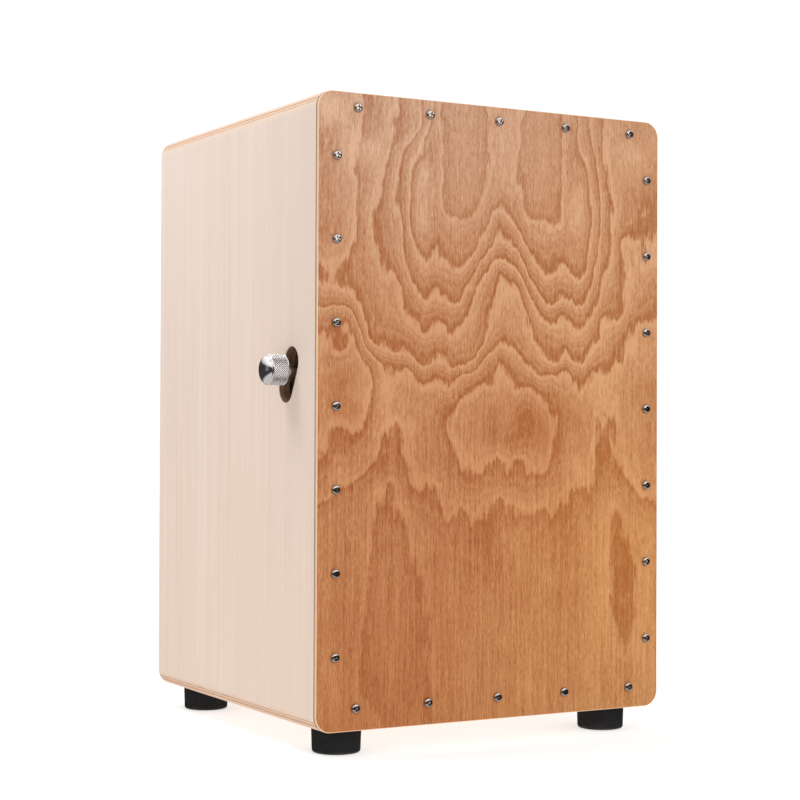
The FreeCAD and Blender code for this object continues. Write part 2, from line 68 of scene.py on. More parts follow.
# ---------------------------------------------------------------- shader builder
class Graph:
    """A material with a Principled shader, and short calls for the nodes that feed it."""

    def __init__(self, name):
        self.mat = bpy.data.materials.new(name)
        self.mat.use_nodes = True
        self.tree = self.mat.node_tree
        self.tree.nodes.clear()
        out = self.tree.nodes.new("ShaderNodeOutputMaterial")
        self.bsdf = self.tree.nodes.new("ShaderNodeBsdfPrincipled")
        self.tree.links.new(self.bsdf.outputs[0], out.inputs["Surface"])

    def put(self, socket, value):
        if isinstance(value, SOCKET):
            self.tree.links.new(value, socket)
        elif socket.type == "RGBA":
            socket.default_value = tuple(value)[:3] + (1.0,)
        else:
            socket.default_value = value

    def node(self, kind, inputs=(), out=0, **props):
        n = self.tree.nodes.new("ShaderNode" + kind)
        for k, v in props.items():
            setattr(n, k, v)
        for k, v in dict(inputs).items():
            self.put(n.inputs[k], v)
        return n.outputs[out]

    def set(self, **values):
        for k, v in values.items():
            self.put(self.bsdf.inputs[k.replace("_", " ")], v)
        return self.mat

    def math(self, op, a, b=None, c=None, clamp=False):
        ins = {i: v for i, v in enumerate((a, b, c)) if v is not None}
        return self.node("Math", ins, operation=op, use_clamp=clamp)

    def add(self, a, b):
        return self.math("ADD", a, b)

    def sub(self, a, b):
        return self.math("SUBTRACT", a, b)

    def mul(self, a, b):
        return self.math("MULTIPLY", a, b)

    def mm(self):
        obj = self.node("TexCoord", out="Object")
        return self.node("VectorMath", {0: obj, 1: (1000, 1000, 1000)}, operation="MULTIPLY")

    def xyz(self, v):
        n = self.tree.nodes.new("ShaderNodeSeparateXYZ")
        self.put(n.inputs[0], v)
        return n.outputs[0], n.outputs[1], n.outputs[2]

    def vec(self, x=0.0, y=0.0, z=0.0):
        return self.node("CombineXYZ", {0: x, 1: y, 2: z})

    def scaled(self, v, s):
        return self.node("VectorMath", {0: v, 1: s}, operation="MULTIPLY")

    def noise(self, v, detail=2.0, rough=0.5, scale=1.0, distortion=0.0):
        return self.node("TexNoise", {"Vector": v, "Scale": scale, "Detail": detail,
                                      "Roughness": rough, "Distortion": distortion},
                         noise_dimensions="3D")

    def centred(self, v, gain, **kw):
        """Noise about zero: its usual swing is half the gain either way."""
        return self.mul(self.sub(self.noise(v, **kw), 0.5), gain * 2.0)

    def ramp(self, fac, stops, mode="LINEAR"):
        n = self.tree.nodes.new("ShaderNodeValToRGB")
        n.color_ramp.interpolation = mode
        el = n.color_ramp.elements
        while len(el) > 1:
            el.remove(el[-1])
        for i, (at, col) in enumerate(stops):
            e = el[0] if i == 0 else el.new(at)
            e.position = at
            e.color = (col, col, col, 1.0) if isinstance(col, (int, float)) else tuple(col)[:3] + (1.0,)
        self.put(n.inputs[0], fac)
        return n.outputs[0]

    def mix(self, fac, a, b, blend="MIX", clamp=True):
        n = self.tree.nodes.new("ShaderNodeMix")
        n.data_type = "RGBA"
        n.blend_type = blend
        n.clamp_factor = clamp
        self.put(n.inputs[0], fac)
        self.put(n.inputs[6], a)
        self.put(n.inputs[7], b)
        return n.outputs[2]

    def span(self, v, lo, hi, to_lo=0.0, to_hi=1.0, smooth=True):
        return self.node("MapRange", {"Value": v, "From Min": lo, "From Max": hi,
                                      "To Min": to_lo, "To Max": to_hi},
                         interpolation_type="SMOOTHSTEP" if smooth else "LINEAR", clamp=True)

    def bump(self, height, depth_mm, strength=1.0, normal=None):
        """Height 0 to 1 stands for depth_mm of relief."""
        ins = {"Height": height, "Strength": strength, "Distance": depth_mm / 1000}
        if normal is not None:
            ins["Normal"] = normal
        return self.node("Bump", ins)


def smooth(obj, degrees=35):
    obj.data.shade_smooth()
    obj.data.set_sharp_from_angle(angle=math.radians(degrees))


def paint(material, *names):
    for name in names:
        slots = NODES[name].data.materials
        if len(slots) == 0:
            slots.append(material)
        for i in range(len(slots)):
            slots[i] = material


def piece(name, verts, faces, material, stands_for, body, degrees=35):
    """A new mesh object in place of CAD nodes."""
    me = bpy.data.meshes.new(name)
    me.from_pydata([tuple(map(float, v)) for v in verts], [], [tuple(map(int, f)) for f in faces])
    me.update()
    obj = bpy.data.objects.new(name, me)
    bpy.context.scene.collection.objects.link(obj)
    obj.data.materials.append(material)
    smooth(obj, degrees)
    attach(obj, body)
    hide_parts(*stands_for)
    return obj


# ---------------------------------------------------------------- growth figure
# The front plate is a peeled veneer. Its figure is a field of growth rings, given as
# lines: each line is a ring's number and the x, z points that it passes, in mm.
RINGS = """
1.06 -49,489 -49,464 -49,439 -49,419 -49,401.5 -46,393 -39.5,388.5 -31.5,390 -24,393.5 -17.5,399 -12,406.5 -8.5,416.5 -5,429 -4,444 -6,459 -7.5,474 -8,489
0.82 -43,464 -44,429 -44.5,406.5 -41.5,397 -36.5,393.5 -29.5,398 -22,401 -16.5,406.5 -14,416.5 -11.5,429 -11,449 -13,474
1.06 21,489 19.5,469 18,454 15.5,439 16,426.5 19,416 22,406.5 25.5,398 30,392.5 35.5,393 40.5,397 44.5,394.5 48,388.5 53,387 57.5,391.5 60,404 60.5,419 59.5,434 59.5,449 60.5,464 61,489
0.82 27,479 26,454 24,439 23.5,426.5 25,414 28.5,403 32.5,396 37,397 41,401 46,396.5 50,391.5 54,392.5 56,399.5 57,414 56,429 55.5,454 55.5,479
1.5 7,489 6.5,464 6.5,441.5 5.5,424
0.42 -27,489 -27,464 -28,439 -30.5,419
0.42 39.5,489 40,464 39.5,439 40,416.5
2.06 -55.5,489 -56.5,469 -58.5,459 -63,450 -68,441 -72.5,431.5 -75,421.5 -76.5,409 -76.5,396.5 -75,384 -72,371.5 -68.5,362.5 -64.5,356 -59,356 -54,359.5 -51,366 -48,363.5 -44.5,357 -40,352.5 -34,353 -27,358 -20,365 -15.5,370.5 -13,377.5 -8,386 -2,395.5 2.5,402.5 4,405 6,402 9.5,396.5 15,389 20.5,382.5 24,376.5 27.5,370 34,361.5 42,354.5 48,350 53.5,353 57.5,358.5 60.5,363 64.5,357 70,351 76.5,349 80.5,352.5 83.5,360.5 85,369 86.5,378 88,389 89,401.5 88,414 85.5,426.5 83.5,436.5 79.5,446.5
1.92 -68.5,430 -72,419 -74,406.5 -74,394 -72.5,380 -69,368 -64.5,361.5 -57.5,362.5 -53,368 -51,374 -48.5,368 -44,362 -39,357 -33,358 -26.5,362.5 -20,369.5 -16.5,375.5 -13,383.5 -7.5,392.5 -2,401.5 2.5,408 8,404 13.5,396 20,388.5 26,377.5 32,369.5 40.5,361.5 48,355.5 53.5,358.5 57.5,366 60.5,369 64,362.5 70,356 76,354 79.5,358 81.5,366.5 83,379 84.5,394 84,409 82,424
1.15 -63,425 -64.5,411.5 -64.5,396.5 -63,384
1.88 -54,444 -53.5,424 -54,404 -53.5,384
1.15 73,419 72,404 74,389
1.6 64.5,449 65,424 64.5,399 65,379
3.06 -65,458 -69,451 -75.5,445.5 -80.5,439.5 -83.5,430 -86,416.5 -86.5,401.5 -83.5,389 -81,374 -78,359 -74.5,346.5 -69.5,336 -64,329 -58.5,332 -53.5,339 -49,333 -43.5,328.5 -36.5,328.5 -29.5,332 -23.5,340 -19,349 -15,355.5 -10.5,361.5 -4,368 1,376.5 3.5,384 6,382.5 11,375 17,367.5 23,360.5 27.5,351 33.5,341 40.5,333 47.5,328.5 53,329.5 57.5,334 59.5,337 63,333 69,328.5 75,327.5 81,331.5 85.5,340 88.5,351.5 91,361.5 94,374 96,386.5 97,399 96.5,414 94.5,429 92.5,439 88.5,449 84.5,461.5 83,476.5
2.92 -77,441.5 -81,431.5 -82.5,416.5 -82,396.5 -79.5,384 -78,369 -75.5,354 -72,344 -67,336 -62,332.5 -56.5,339 -52.5,344 -48.5,339 -43,333.5 -36.5,333 -30,337 -25,344 -20,354 -15.5,360.5 -11.5,367 -4.5,374 -0.5,381 2,389 8,386 13,379 20.5,369 26,359 32,349 40,339 48,333 53.5,336 58,342 62,341 68,334 74.5,332 80,337.5 84,349 87,361.5 89.5,374 92,386.5 93,399 92,419 90,434
4.06 -86,489 -86.5,469 -89,456.5 -92,444 -96,429 -100.5,416 -104,404 -105.5,391.5 -105,374 -103.5,359 -99,352 -93,347.5 -86.5,342.5 -81,333.5 -77,322.5 -73,315 -68,308.5 -64,303.5 -58.5,304 -53.5,307 -49.5,313 -46,308 -41.5,304 -36,303.5 -30.5,307 -26,315 -22,324 -17.5,333.5 -14,342.5 -10,351 -4,356.5 1,360.5 3.5,363.5 8,360 14,354 21,350 26,342 31,329 38,320.5 44,316 49.5,313.5 55,317 59,322 62,319 68.5,313 75,307 80.5,311.5 85,320 89.5,329 95.5,338.5 100.5,349 104,361.5 107,374 108,391.5 106.5,409 103.5,429 100,449 98,469 97.5,489
3.92 -83,464 -86.5,446.5 -90.5,431.5 -96,416.5 -99.5,404 -101,391.5 -101,374 -99,361.5 -94.5,354 -88,349 -82,342 -77,332 -72.5,322.5 -67.5,315 -63,308.5 -57.5,309.5 -53,314.5 -49.5,319 -45.5,314 -41,309 -36,308.5 -31.5,313 -27.5,321.5 -23.5,331 -19.5,340 -16,348 -12,355.5 -5,361.5 -0.5,366 2.5,369.5 9,364.5 15,358.5 22,354.5 27.5,346 33.5,333 39.5,326 45,321 50,319 54.5,323 59,328 63,324.5 69.5,318.5 74.5,313 79.5,317.5 83,326 87,335.5 92,345 97,355 100.5,366.5 102.5,379 102.5,394 101,409 98,429 95.5,446.5
5.06 -162,340 -147,337.5 -137,338.5 -128,334 -120,330 -115.5,321.5 -111.5,310 -108,300 -102,294 -93,291 -85,290 -77,288 -71.5,285 -66,281.5 -60,280 -54,285 -50.5,288.5 -46,283.5 -40.5,279 -32.5,279 -24.5,280.5 -17,284.5 -10.5,293.5 -6,306.5 -4,319 -2,329 1,339 3.5,348.5 6,344 11,341.5 18,338.5 21.5,329 24.5,319 27.5,308 32,300 38.5,294 45,287.5 51,283 56,284 59.5,288.5 62.5,293.5 66,289 71.5,284 77.5,284 83,290 88.5,296 93.5,305 97.5,315 105.5,319 113,321 117,327.5 119.5,337.5 122,351.5 128,361.5 135.5,369.5 145.5,376.5 163,381.5
4.92 -126,341 -120,336.5 -115,326.5 -110,314 -106,303 -99.5,300 -89.5,298 -78,295.5 -72,292 -66.5,287.5 -60.5,285 -55,289.5 -51,295 -47,291 -42,285.5 -35.5,283 -27,283.5 -18.5,288 -13,300 -9,314 -6.5,326.5 -3.5,337.5 0,346.5 2.5,354 9.5,349 19,344 24,334.5 28.5,322.5 32,312 37,303 44,295 50.5,290 55.5,291.5 59.5,297 63,299 67,294 73,289 78,291 82.5,296.5 87,304 91,313 95,321 100.5,325 109,328.5 112,337.5 113,351.5 113.5,369 112,384
6.06 -99,278.5 -89.5,278.5 -81,277.5 -74.5,276 -69.5,269.5 -64.5,265 -59.5,265 -55,269.5 -52,274 -47,271 -42,266.5 -36.5,266.5 -31.5,270.5 -25.5,276 -18,280 -12,287.5 -5,291.5 -0.5,294.5 3.5,300 10.5,296.5 17,292.5 22,286.5 29,281 37,276 45.5,274 55.5,276 60.5,279 68,275.5 73,267.5 79,267.5 84,274 93,278.5 103,279 111,282 115.5,290 119.5,299.5 125,309 133,316.5 145.5,321.5 163,324
5.92 -94.5,284 -86.5,282.5 -77,280.5 -71.5,277 -66.5,271 -60.5,268.5 -55.5,275 -52,279 -46,274 -40.5,272 -33.5,275.5 -27,280 -19,285 -13,292 -6,296.5 -1,300.5 13,301 20.5,293.5 28,286.5 37,281 45.5,279 54.5,280 60,284 65.5,281.5 71.5,272.5 78.5,272.5 84,280 92,284 99.5,286.5 108,289 113,299 118.5,309 125.5,319 135.5,326.5 148,331.5
7.06 4.5,287 6.5,281.5 11,275 18.5,270 26,265 34.5,261 42,255 48.5,249.5 52,241 53.5,231.5 50.5,221 44.5,211 37.5,205 30,207.5 23,213.5 16,211.5 9,204 4.5,212.5 -2,215 -8.5,213.5 -15.5,208 -21.5,205 -27,208 -33,216.5 -38,226 -40.5,236.5 -38.5,246.5 -32,254 -24,259.5 -12,266.5 -3,270 2,276
6.92 3,284 -4,278.5 -12,272 -22,266 -29.5,261 -35.5,253.5 -41.5,246.5 -43,234 -40,223 -34.5,213 -27.5,203 -19.5,197 -11.5,204.5 -2.5,210 3.5,206.5 9,197.5 16,204 23,206 30.5,201 39.5,198.5 48,206 55.5,219 59.5,231.5 57,244 52,254 43.5,261 34,267 23,272 15,277.5
7.5 -12,254 -17,239 -17,224
7.9 8,226.5 13,229
7.9 24.5,249 33,239 28,229
7.2 6,256.5 7,239
7.6 -2,249 -2,229
7.3 -137,286.5 -128,286 -119.5,279 -114.5,264 -115,246.5 -119.5,241.5 -129.5,244 -137,254
6.9 -126,316 -121,306.5 -117,296.5 -111.5,286 -106.5,277.5 -104,266.5 -104.5,254 -106,241.5 -110.5,232.5 -115,228.5 -121,230.5 -127,234 -131,232.5 -135,226 -137.5,218.5 -142,209 -162,199
6.9 -162,306.5 -143,303 -132.5,293 -127,300
6.15 -98.5,266.5 -98,249 -100.5,234 -103,221.5 -109.5,209 -117,203 -126,201.5 -137,191.5
6.3 -88,264 -86.5,246.5
6.06 -80.5,239 -77,226.5 -75,211.5 -71.5,196.5 -66,189 -61,193.5 -57.5,198 -53,193 -50,186 -46,178 -42,173.5 -35.5,173.5 -29,178 -24,172.5 -18.5,169 -12,176.5 -4.5,181.5 3,184 10.5,182.5 18,179 24.5,175 33,175.5 42,174.5 51,173.5 57,177.5 62,184 67,189.5 72.5,193.5 78.5,189.5 84,189 87,196.5 88.5,213 90.5,229 95,239 100.5,254 109.5,241 112,226.5 114.5,214 119,202.5 124.5,193.5 133,186.5 148,179
5.92 -86.5,231 -80.5,221.5 -78,206.5 -74,191.5 -68.5,183.5 -61.5,186 -57,191.5 -52.5,184 -48,173.5 -43.5,167.5 -35.5,167 -28.5,172.5 -23.5,163.5 -20.5,151.5 -16,156.5 -9.5,169 -2,171.5 8,174 20.5,169 33,169 44.5,169 54,167.5 61,175 65,181.5 73,189 79,183.5 84.5,182.5 88.5,188 92,197.5 92,214 95.5,226.5
6.45 -64.5,254 -57,234 -59,214
6.5 73,244 80.5,226.5
6.4 65.5,254 64,229 60.5,209
6.5 128,264 130.5,244 133,219
5.9 -100.5,216 -95,226 -87.5,230
5.5 -92,214 -86.5,211.5
5.06 -114.5,69 -112.5,89 -112,109 -109.5,131.5 -107.5,149 -105,163.5 -101.5,177 -95.5,191.5 -91.5,199.5 -87.5,194 -83,182.5 -77,171.5
4.9 -105.5,129 -102,154 -96.5,176.5 -91.5,187 -84.5,172.5 -79.5,156.5 -75.5,144 -73,129
4.4 -92,154 -93,114 -97,69
5.5 -127,179 -124.5,129 -126,79
5.2 -144.5,166.5 -143.5,116.5 -142,54
5.5 -122,29 -127,4
5.3 -52,129 -47,79 -44.5,16.5
4.7 -69.5,104 -68,54 -67,4
5.3 -12,104 -12,4
5.6 20.5,154 23,104
5.2 48,129 48,79 50.5,4
5.25 68,139 69,104 70.5,54
5.4 88,129 90.5,54 93,4
5.3 138,154 139.5,79 140.5,4
5.06 110,181.5 105,164 102.5,141.5 105.5,114 108.5,84 114.5,66.5 121,63 127,74 130,94 129,114 125.5,136.5 120.5,156.5 114.5,174
4.8 110,169 110.5,149 114,124 118,99 119.5,79
5.6 -137,489 -134.5,464
5.3 -122,414 -123,389 -124.5,369
5.6 -142,404 -142,374
4.5 -112,419 -113,394 -112,371.5
4.6 118,419 118,396.5
4.5 123,489 125.5,454
4.9 138,416.5 138,394
4.5 140.5,474 143,449
"""


def ring_lines():
    for row in RINGS.strip().splitlines():
        level, *pts = row.split()
        yield float(level), np.array([[float(v) for v in p.split(",")] for p in pts])


def curve_through(p, step):
    """Points every step mm or so along a smooth curve through p."""
    if len(p) < 4:
        q = p
    else:
        e = np.vstack([2 * p[0] - p[1], p, 2 * p[-1] - p[-2]])
        q = []
        for a, b, c, d in zip(e, e[1:], e[2:], e[3:]):
            for t in np.linspace(0, 1, 6, endpoint=False):
                q.append(0.5 * (2 * b + (c - a) * t + (2 * a - 5 * b + 4 * c - d) * t ** 2
                                + (3 * b - a - 3 * c + d) * t ** 3))
        q = np.array(q + [p[-1]])
    run = np.r_[0, np.cumsum(np.hypot(*np.diff(q, axis=0).T))]
    t = np.linspace(0, run[-1], max(2, int(run[-1] / step) + 1))
    return np.c_[np.interp(t, run, q[:, 0]), np.interp(t, run, q[:, 1])]


def blur(f, sigma):
    k = np.exp(-0.5 * (np.arange(-3 * int(math.ceil(sigma)), 3 * int(math.ceil(sigma)) + 1) / sigma) ** 2)
    k /= k.sum()
    h = len(k) // 2
    for axis in (0, 1):
        g = np.pad(f, [(h, h) if a == axis else (0, 0) for a in (0, 1)], mode="edge")
        f = sum(w * np.take(g, np.arange(i, i + f.shape[axis]), axis=axis) for i, w in enumerate(k))
    return f


def ring_field(x0, x1, z0, z1, cell=2.0):
    """The ring number on a grid over the plate, from the listed lines."""
    pts, val = [], []
    for level, p in ring_lines():
        r = curve_through(p, 5.5)
        pts.append(r)
        val += [level] * len(r)
    pts, val = np.vstack(pts) / 25, np.array(val)
    keep = np.ones(len(pts), bool)
    for i in range(len(pts)):
        if keep[i]:
            near = np.hypot(*(pts - pts[i]).T) < 0.08
            near[:i + 1] = False
            keep[near] = False
    pts, val = pts[keep], val[keep]
    n = len(pts)
    d = np.hypot(pts[:, None, 0] - pts[None, :, 0], pts[:, None, 1] - pts[None, :, 1])
    a = np.zeros((n + 3, n + 3))
    a[:n, :n] = -d + 0.02 * np.eye(n)
    a[:n, n], a[:n, n + 1:] = 1, pts
    a[n, :n], a[n + 1:, :n] = 1, pts.T
    w = np.linalg.solve(a, np.r_[val, 0, 0, 0])
    gx, gz = np.arange(x0 - 4, x1 + 5, cell), np.arange(z0 - 4, z1 + 5, cell)
    f = np.empty((len(gz), len(gx)))
    for i, z in enumerate(gz):
        r = np.hypot(gx[:, None] / 25 - pts[None, :, 0], z / 25 - pts[None, :, 1])
        f[i] = w[n] + w[n + 1] * gx / 25 + w[n + 2] * z / 25 - r @ w[:n]
    return gx, gz, blur(f, 0.75)


def sample(gx, gz, f, x, z):
    u = np.clip((x - gx[0]) / (gx[1] - gx[0]), 0, len(gx) - 1.001)
    v = np.clip((z - gz[0]) / (gz[1] - gz[0]), 0, len(gz) - 1.001)
    i, j = u.astype(int), v.astype(int)
    s, t = u - i, v - j
    return ((1 - t) * ((1 - s) * f[j, i] + s * f[j, i + 1])
            + t * ((1 - s) * f[j + 1, i] + s * f[j + 1, i + 1]))


# ---------------------------------------------------------------- front plate
def veneer():
    g = Graph("figured_veneer")
    p = g.mm()
    x, y, z = g.xyz(p)

    def vertex(name):
        return g.node("Attribute", out="Fac", attribute_name=name)

    n_ring, swing, bias, red = vertex("ring"), vertex("swing"), vertex("bias"), vertex("red")
    # fibres run up the plate, so every wobble is long in z and short in x
    sway = g.centred(g.scaled(p, (0.085, 0, 0.035)), 0.34, detail=2, rough=0.55)
    jag = g.centred(g.scaled(p, (0.30, 0, 0.060)), 0.15, detail=2, rough=0.6)
    column = g.centred(g.scaled(p, (1.15, 0, 0.055)), 0.075, detail=2, rough=0.6)
    streak = g.noise(g.scaled(p, (0.42, 0, 0.012)), detail=3, rough=0.65)
    fibre = g.noise(g.scaled(p, (1.25, 0, 0.070)), detail=4, rough=0.72)
    dash = g.noise(g.scaled(p, (1.5, 0, 0.24)), detail=2, rough=0.6)
    fleck = g.noise(g.scaled(p, (0.80, 0, 0.11)), detail=3, rough=0.6)
    patch = g.noise(g.scaled(p, (0.030, 0, 0.012)), detail=2)
    ring = g.add(g.add(n_ring, sway), g.add(jag, column))
    tone = g.ramp(g.math("FRACT", ring),
                  [(0, 0.50), (0.035, 0.70), (0.08, 0.88), (0.14, 0.86), (0.24, 0.68), (0.45, 0.52),
                   (0.72, 0.40), (0.86, 0.20), (0.92, 0.13), (0.965, 0.28), (1, 0.50)])
    second = g.add(g.mul(ring, 3.0), g.centred(g.scaled(p, (0.2, 0, 0.05)), 0.4, detail=1))
    fine = g.ramp(g.math("FRACT", second),
                  [(0, 0.6), (0.08, 0.86), (0.25, 0.62), (0.7, 0.42), (0.92, 0.20), (1, 0.6)])
    t = g.add(0.5, g.mul(g.sub(tone, 0.5), swing))
    t = g.add(t, g.mul(g.sub(fine, 0.5), g.mul(swing, 0.42)))
    t = g.add(t, g.mul(g.sub(streak, 0.5), g.span(z, 160, 300, 1.15, 0.65)))
    t = g.add(t, g.mul(g.sub(fibre, 0.5), 1.30))
    t = g.add(t, g.mul(g.sub(dash, 0.5), 1.25))
    t = g.add(t, g.mul(g.sub(fleck, 0.5), 0.70))
    t = g.add(t, bias)
    side = g.span(x, -90, 130)
    up = g.span(z, 19, 477, smooth=False)

    def bands(rows):
        return g.ramp(up, [((zz - 19) / 458, [max(0.02, v - d) for v, d in zip(srgb(*c), (0.016, 0.024, 0.026))])
                           for zz, c in rows])

    # towards the upper left both tones turn paler and pinker: partly the wood, partly a painted sheen
    dark = g.mix(side,
                 bands([(19, (160, 94, 52)), (150, (160, 92, 50)), (260, (165, 98, 60)),
                        (350, (168, 106, 68)), (477, (166, 112, 80))]),
                 bands([(19, (166, 104, 60)), (150, (172, 106, 60)), (260, (170, 106, 66)),
                        (350, (168, 106, 66)), (477, (168, 112, 78))]))
    light = g.mix(side,
                  bands([(19, (206, 146, 98)), (150, (208, 150, 104)), (260, (212, 157, 115)),
                         (350, (213, 164, 128)), (477, (222, 183, 155))]),
                  bands([(19, (222, 166, 114)), (150, (220, 162, 110)), (260, (217, 164, 118)),
                         (350, (218, 168, 128)), (477, (219, 174, 139))]))
    face = g.mix(t, dark, light)
    # redder and more golden areas
    hue = g.add(red, g.mul(g.sub(patch, 0.5), 0.5))
    face = g.mix(g.mul(g.math("MAXIMUM", hue, 0.0), 0.5), face, srgb(188, 112, 70), blend="MIX")
    # short open pores
    pore = g.noise(g.scaled(p, (2.3, 0, 0.24)), detail=2, rough=0.5)
    pore = g.span(pore, 0.60, 0.74)
    face = g.mix(g.mul(pore, g.sub(0.42, g.mul(t, 0.22))), face, srgb(140, 84, 54))
    # the plies show on the eased edge; the darkest band at the back, where the plate meets the side panels, is a glue
    # line and a painted shade of the joint
    depth = g.sub(y, 1000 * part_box("front_plate")[0].y)
    edge_grain = g.noise(g.scaled(p, (0.25, 2.0, 0.25)), detail=3, rough=0.7)
    wob = g.add(depth, g.mul(g.sub(edge_grain, 0.5), 0.35))
    core = g.ramp(g.math("DIVIDE", wob, 3.5),
                  [(0, srgb(218, 174, 138)), (0.08, srgb(240, 206, 176)), (0.34, srgb(236, 202, 170)),
                   (0.37, srgb(146, 104, 76)), (0.47, srgb(148, 108, 80)), (0.50, srgb(216, 182, 152)),
                   (0.72, srgb(206, 172, 142)), (0.76, srgb(104, 76, 58)), (1, srgb(92, 66, 50))])
    core = g.mix(g.mul(g.sub(edge_grain, 0.35), 0.5), core, srgb(176, 134, 100))
    skin = g.span(depth, 0.10, 0.24)
    colour = g.mix(skin, face, core)
    height = g.add(g.add(g.mul(fibre, 0.5), g.mul(dash, 0.35)), g.mul(pore, -0.8))
    height = g.add(height, g.mul(tone, 0.25))
    rough = g.add(0.46, g.mul(g.sub(fibre, 0.5), 0.25))
    return g.set(Base_Color=colour, Roughness=g.add(rough, g.mul(skin, 0.15)),
                 Specular_IOR_Level=0.16, Coat_Weight=0.04, Coat_Roughness=0.30,
                 Normal=g.bump(height, 0.045))


# Soft areas of the veneer: x, z, half width, half height in mm, how much
# lighter, how much stronger the rings show, how much redder.
# The first two areas, lighter and less red at the upper left, are a painted sheen.
AREAS = """
-140 464 12 10  0.50 -0.2 -0.1
-116 436 14 9  0.45 -0.2 -0.1
-62 414 7 34  0.22 0 0
74 404 7 22  0.22 0 0
126 446 14 14  0.28 0 0
-27 430 16 40  0.07 -0.72 0.05
38 440 14 34  0.05 -0.72 0.05
5 440 6 30  0.10 0 0
-120 385 8 30  0.10 0 0
30 240 34 22  -0.16 -0.1 0.25
-104 262 14 10  0.20 0 0
-92 208 12 9  -0.22 0 0.1
-92 238 14 10  0.16 0 0
-130 262 10 26  -0.16 0 0.25
-130 210 12 12  0.14 0 0
116 118 9 44  -0.24 0.25 0.30
96 110 9 50  0.16 0 -0.2
138 110 8 60  0.16 0 -0.2
60 130 12 60  -0.16 0 0.20
-60 90 18 50  -0.10 0 0.15
-8 150 8 24  -0.14 0 0.15
14 160 12 22  0.10 0 -0.1
-118 80 16 40  -0.10 0 0.15
-140 130 8 40  0.06 0 0
90 300 40 16  0.10 0.2 -0.1
20 350 40 20  0 0.25 0
-70 318 40 20  0 0.2 0.1
"""


def soft_areas(x, z):
    """Lightness, ring strength and redness at each point of the plate."""
    bias, red = np.zeros(len(x)), np.zeros(len(x))
    swing = np.interp(z, [19, 120, 170, 215, 260, 420, 477], [0.34, 0.42, 0.60, 0.78, 0.94, 0.88, 0.70])
    for row in AREAS.strip().splitlines():
        cx, cz, rx, rz, light, strong, redder = (float(v) for v in row.split())
        w = np.exp(-(((x - cx) / rx) ** 2 + ((z - cz) / rz) ** 2) * 0.7)
        bias += light * w
        swing = swing + strong * w
        red += redder * w
    return {"bias": bias, "swing": swing, "red": red}


def front_plate():
    lo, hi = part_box("front_plate")
    lo, hi = np.array(lo) * 1000, np.array(hi) * 1000
    half, mid = (hi - lo) / 2, (hi + lo) / 2
    corner, ease = 12.0, 1.2
    gx, gz, field = ring_field(lo[0], hi[0], lo[2], hi[2])

    def inset(k):
        """Half width at each height of the outline drawn in by k."""
        w, h, r = half[0] - k, half[2] - k, corner - k
        a = np.linspace(0, np.pi / 2, 9)
        z_end = h - r + r * np.sin(a)
        straight = np.linspace(-(h - r), h - r, 345)
        zz = np.r_[-z_end[:0:-1], straight, z_end[1:]]
        over = np.clip(np.abs(zz) - (h - r), 0, r)
        return zz, w - r + np.sqrt(np.maximum(r * r - over ** 2, 0))

    def rim(k):
        """The outline drawn in by k, as a loop that starts at the lower left."""
        zz, ww = inset(k)
        u = np.linspace(-1, 1, nx + 1)
        loop = [(ww[0] * s, zz[0]) for s in u]
        loop += [(ww[j], zz[j]) for j in range(1, nz)]
        loop += [(ww[-1] * s, zz[-1]) for s in u[::-1]]
        loop += [(-ww[j], zz[j]) for j in range(nz - 1, 0, -1)]
        return loop

    nx = 232
    zz, ww = inset(ease)
    nz = len(zz) - 1
    verts = [(mid[0] + ww[j] * s, lo[1], mid[2] + zz[j])
             for j in range(nz + 1) for s in np.linspace(-1, 1, nx + 1)]
    faces = [(j * (nx + 1) + i, j * (nx + 1) + i + 1, (j + 1) * (nx + 1) + i + 1, (j + 1) * (nx + 1) + i)
             for j in range(nz) for i in range(nx)]
    loop = [i for i in range(nx + 1)]
    loop += [j * (nx + 1) + nx for j in range(1, nz)]
    loop += [nz * (nx + 1) + i for i in range(nx, -1, -1)]
    loop += [j * (nx + 1) for j in range(nz - 1, 0, -1)]
    for a in (22.5, 45.0, 67.5, 90.0):
        k = ease * (1 - math.sin(math.radians(a)))
        y = lo[1] + ease * (1 - math.cos(math.radians(a)))
        new = list(range(len(verts), len(verts) + len(loop)))
        verts += [(mid[0] + px, y, mid[2] + pz) for px, pz in rim(k)]
        faces += [(loop[i - 1], new[i - 1], new[i], loop[i]) for i in range(len(loop))]
        loop = new
    new = list(range(len(verts), len(verts) + len(loop)))
    verts += [(mid[0] + px, hi[1], mid[2] + pz) for px, pz in rim(0)]
    faces += [(loop[i - 1], new[i - 1], new[i], loop[i]) for i in range(len(loop))]
    faces.append(tuple(new[::-1]))
    verts = np.array(verts)
    obj = piece("front_plate_veneered", verts / 1000, faces, veneer(), ["front_plate"],
                "cabinet", 30)
    level = sample(gx, gz, field, verts[:, 0], verts[:, 2])
    for name, value in dict(soft_areas(verts[:, 0], verts[:, 2]), ring=level).items():
        obj.data.attributes.new(name, "FLOAT", "POINT").data.foreach_set("value", value.astype(np.float32))
    return obj


front_plate()


# ---------------------------------------------------------------- plywood panels
# Layers of an 8 mm board from its outer face: where each starts, in mm, and its colour. The darkest, innermost layer is
# partly the inner ply and partly a painted shade of the gap where the boards meet.
PLY_8 = [(0.0, (232, 206, 184)), (0.75, (196, 160, 134)), (1.15, (228, 196, 170)), (2.25, (200, 160, 132)),
         (2.75, (232, 194, 164)), (4.25, (182, 140, 110)), (5.5, (224, 186, 156)), (7.45, (150, 114, 90)),
         (8.0, (140, 106, 84))]
PLY_6 = [(0.0, (232, 206, 184)), (0.7, (196, 160, 134)), (1.1, (230, 196, 170)), (2.4, (186, 146, 116)),
         (3.6, (230, 194, 166)), (4.9, (196, 158, 130)), (5.4, (230, 204, 182)), (6.0, (230, 204, 182))]


